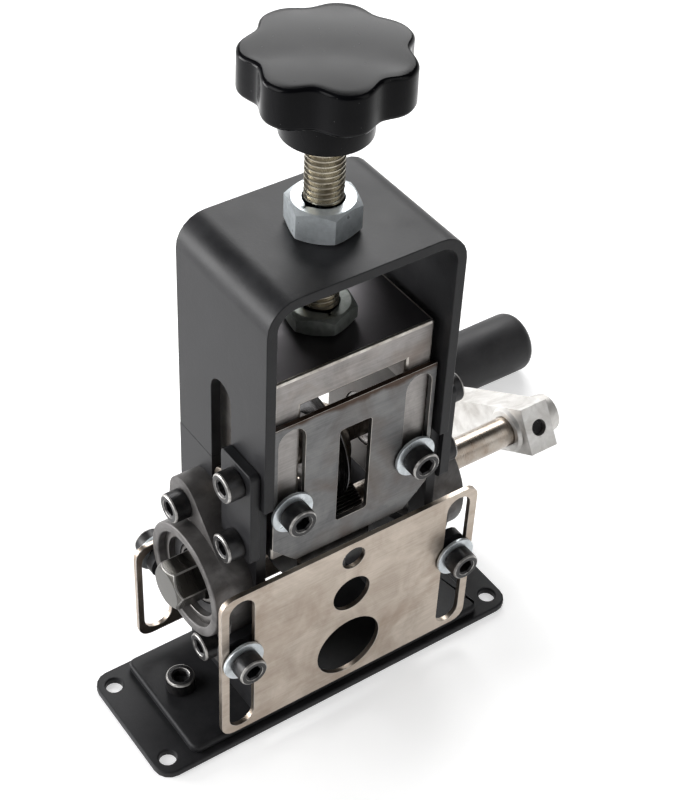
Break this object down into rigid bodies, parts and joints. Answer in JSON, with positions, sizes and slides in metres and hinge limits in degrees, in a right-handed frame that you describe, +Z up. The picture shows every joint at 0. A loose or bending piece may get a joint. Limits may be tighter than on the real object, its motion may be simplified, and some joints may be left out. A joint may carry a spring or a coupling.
{
  "type": "hand crank wire stripper",
  "caption": "Bench wire stripper: a driven roller under a blade disc in a sliding carriage, pressed by a star knob, with guide plates and a side crank.",
  "frame": {"origin": "centre of the base plate's underside, on the bench", "axes": "+Z up, +X along the drive shaft towards the crank, -Y towards the user, who feeds the cable in"},
  "size_m": [0.1978, 0.1069, 0.2066],
  "materials": {
    "black_paint": "satin",
    "guide_steel": "rolled",
    "bare_steel": "bead blasted",
    "grip_rubber": "matte",
    "carriage_steel": "milled",
    "polished_steel": "polished",
    "bearing_zinc": "die cast",
    "zinc_steel": "zinc plated",
    "black_screw": "black oxide",
    "black_plastic": "gloss"
  },
  "bodies": {
    "frame": {"base_plate": "black_paint", "foot_plate": "black_paint", "upper_frame": "black_paint", "frame_nut": "zinc_steel", "cheek_left": "black_paint", "foot_screw_left": "black_screw", "side_plate_left": "black_paint", "side_plate_upper_screw_left": "black_screw", "side_plate_lower_screw_left": "black_screw", "bearing_housing_left": "bearing_zinc", "bearing_upper_screw_left": "black_screw", "bearing_lower_screw_left": "black_screw", "front_guide_washer_left": "zinc_steel", "front_guide_screw_left": "black_screw", "rear_guide_washer_left": "zinc_steel", "rear_guide_screw_left": "black_screw", "cheek_right": "black_paint", "foot_screw_right": "black_screw", "side_plate_right": "black_paint", "side_plate_upper_screw_right": "black_screw", "side_plate_lower_screw_right": "black_screw", "bearing_housing_right": "bearing_zinc", "bearing_upper_screw_right": "black_screw", "bearing_lower_screw_right": "black_screw", "front_guide_washer_right": "zinc_steel", "front_guide_screw_right": "black_screw", "rear_guide_washer_right": "zinc_steel", "rear_guide_screw_right": "black_screw"},
    "crank": {"drive_shaft": "polished_steel", "feed_roller": "carriage_steel", "crank_arm": "bare_steel", "grip_pin": "zinc_steel", "bearing_inner_ring_left": "polished_steel", "bearing_inner_ring_right": "polished_steel"},
    "grip": {"crank_grip": "grip_rubber"},
    "carriage": {"carriage_block": "carriage_steel", "cover_washer_left": "zinc_steel", "cover_screw_left": "black_screw", "blade_bearing_left": "polished_steel", "cover_washer_right": "zinc_steel", "cover_screw_right": "black_screw", "blade_bearing_right": "polished_steel"},
    "cover": {"cover_plate": "carriage_steel"},
    "blade": {"blade_disc": "polished_steel", "blade_axle": "polished_steel", "blade_collar": "carriage_steel"},
    "pressure_screw": {"pressure_screw": "zinc_steel", "star_knob": "black_plastic", "carriage_nut": "zinc_steel", "retaining_nut": "zinc_steel"},
    "front_guide": {"front_guide_plate": "guide_steel"},
    "rear_guide": {"rear_guide_plate": "guide_steel"}
  },
  "joints": [
    {"name": "crank_turn", "type": "hinge", "parent": "frame", "child": "crank", "pos_m": [0, 0, 0.053], "axis": [1, 0, 0], "continuous": true},
    {"name": "grip_turn", "type": "hinge", "parent": "crank", "child": "grip", "pos_m": [0.1083, 0.06896, 0.0105], "axis": [1, 0, 0], "continuous": true},
    {"name": "carriage_slide", "type": "slide", "parent": "frame", "child": "carriage", "axis": [0, 0, 1], "range_m": [-0.0012, 0.018]},
    {"name": "screw_turn", "type": "hinge", "parent": "carriage", "child": "pressure_screw", "pos_m": [0, 0, 0.16], "axis": [0, 0, 1], "range_deg": [-290, 4325]},
    {"name": "blade_turn", "type": "hinge", "parent": "carriage", "child": "blade", "pos_m": [0, 0, 0.084], "axis": [1, 0, 0], "continuous": true},
    {"name": "cover_slide", "type": "slide", "parent": "carriage", "child": "cover", "axis": [0, 0, 1], "range_m": [-0.025, 0.003]},
    {"name": "front_guide_slide", "type": "slide", "parent": "frame", "child": "front_guide", "axis": [0, 0, 1], "range_m": [-0.0044, 0.012]},
    {"name": "rear_guide_slide", "type": "slide", "parent": "frame", "child": "rear_guide", "axis": [0, 0, 1], "range_m": [-0.0006, 0.017]}
  ],
  "couplings": [
    {"joint": "screw_turn", "follows": "carriage_slide", "rad_per_m": 4188.8}
  ]
}
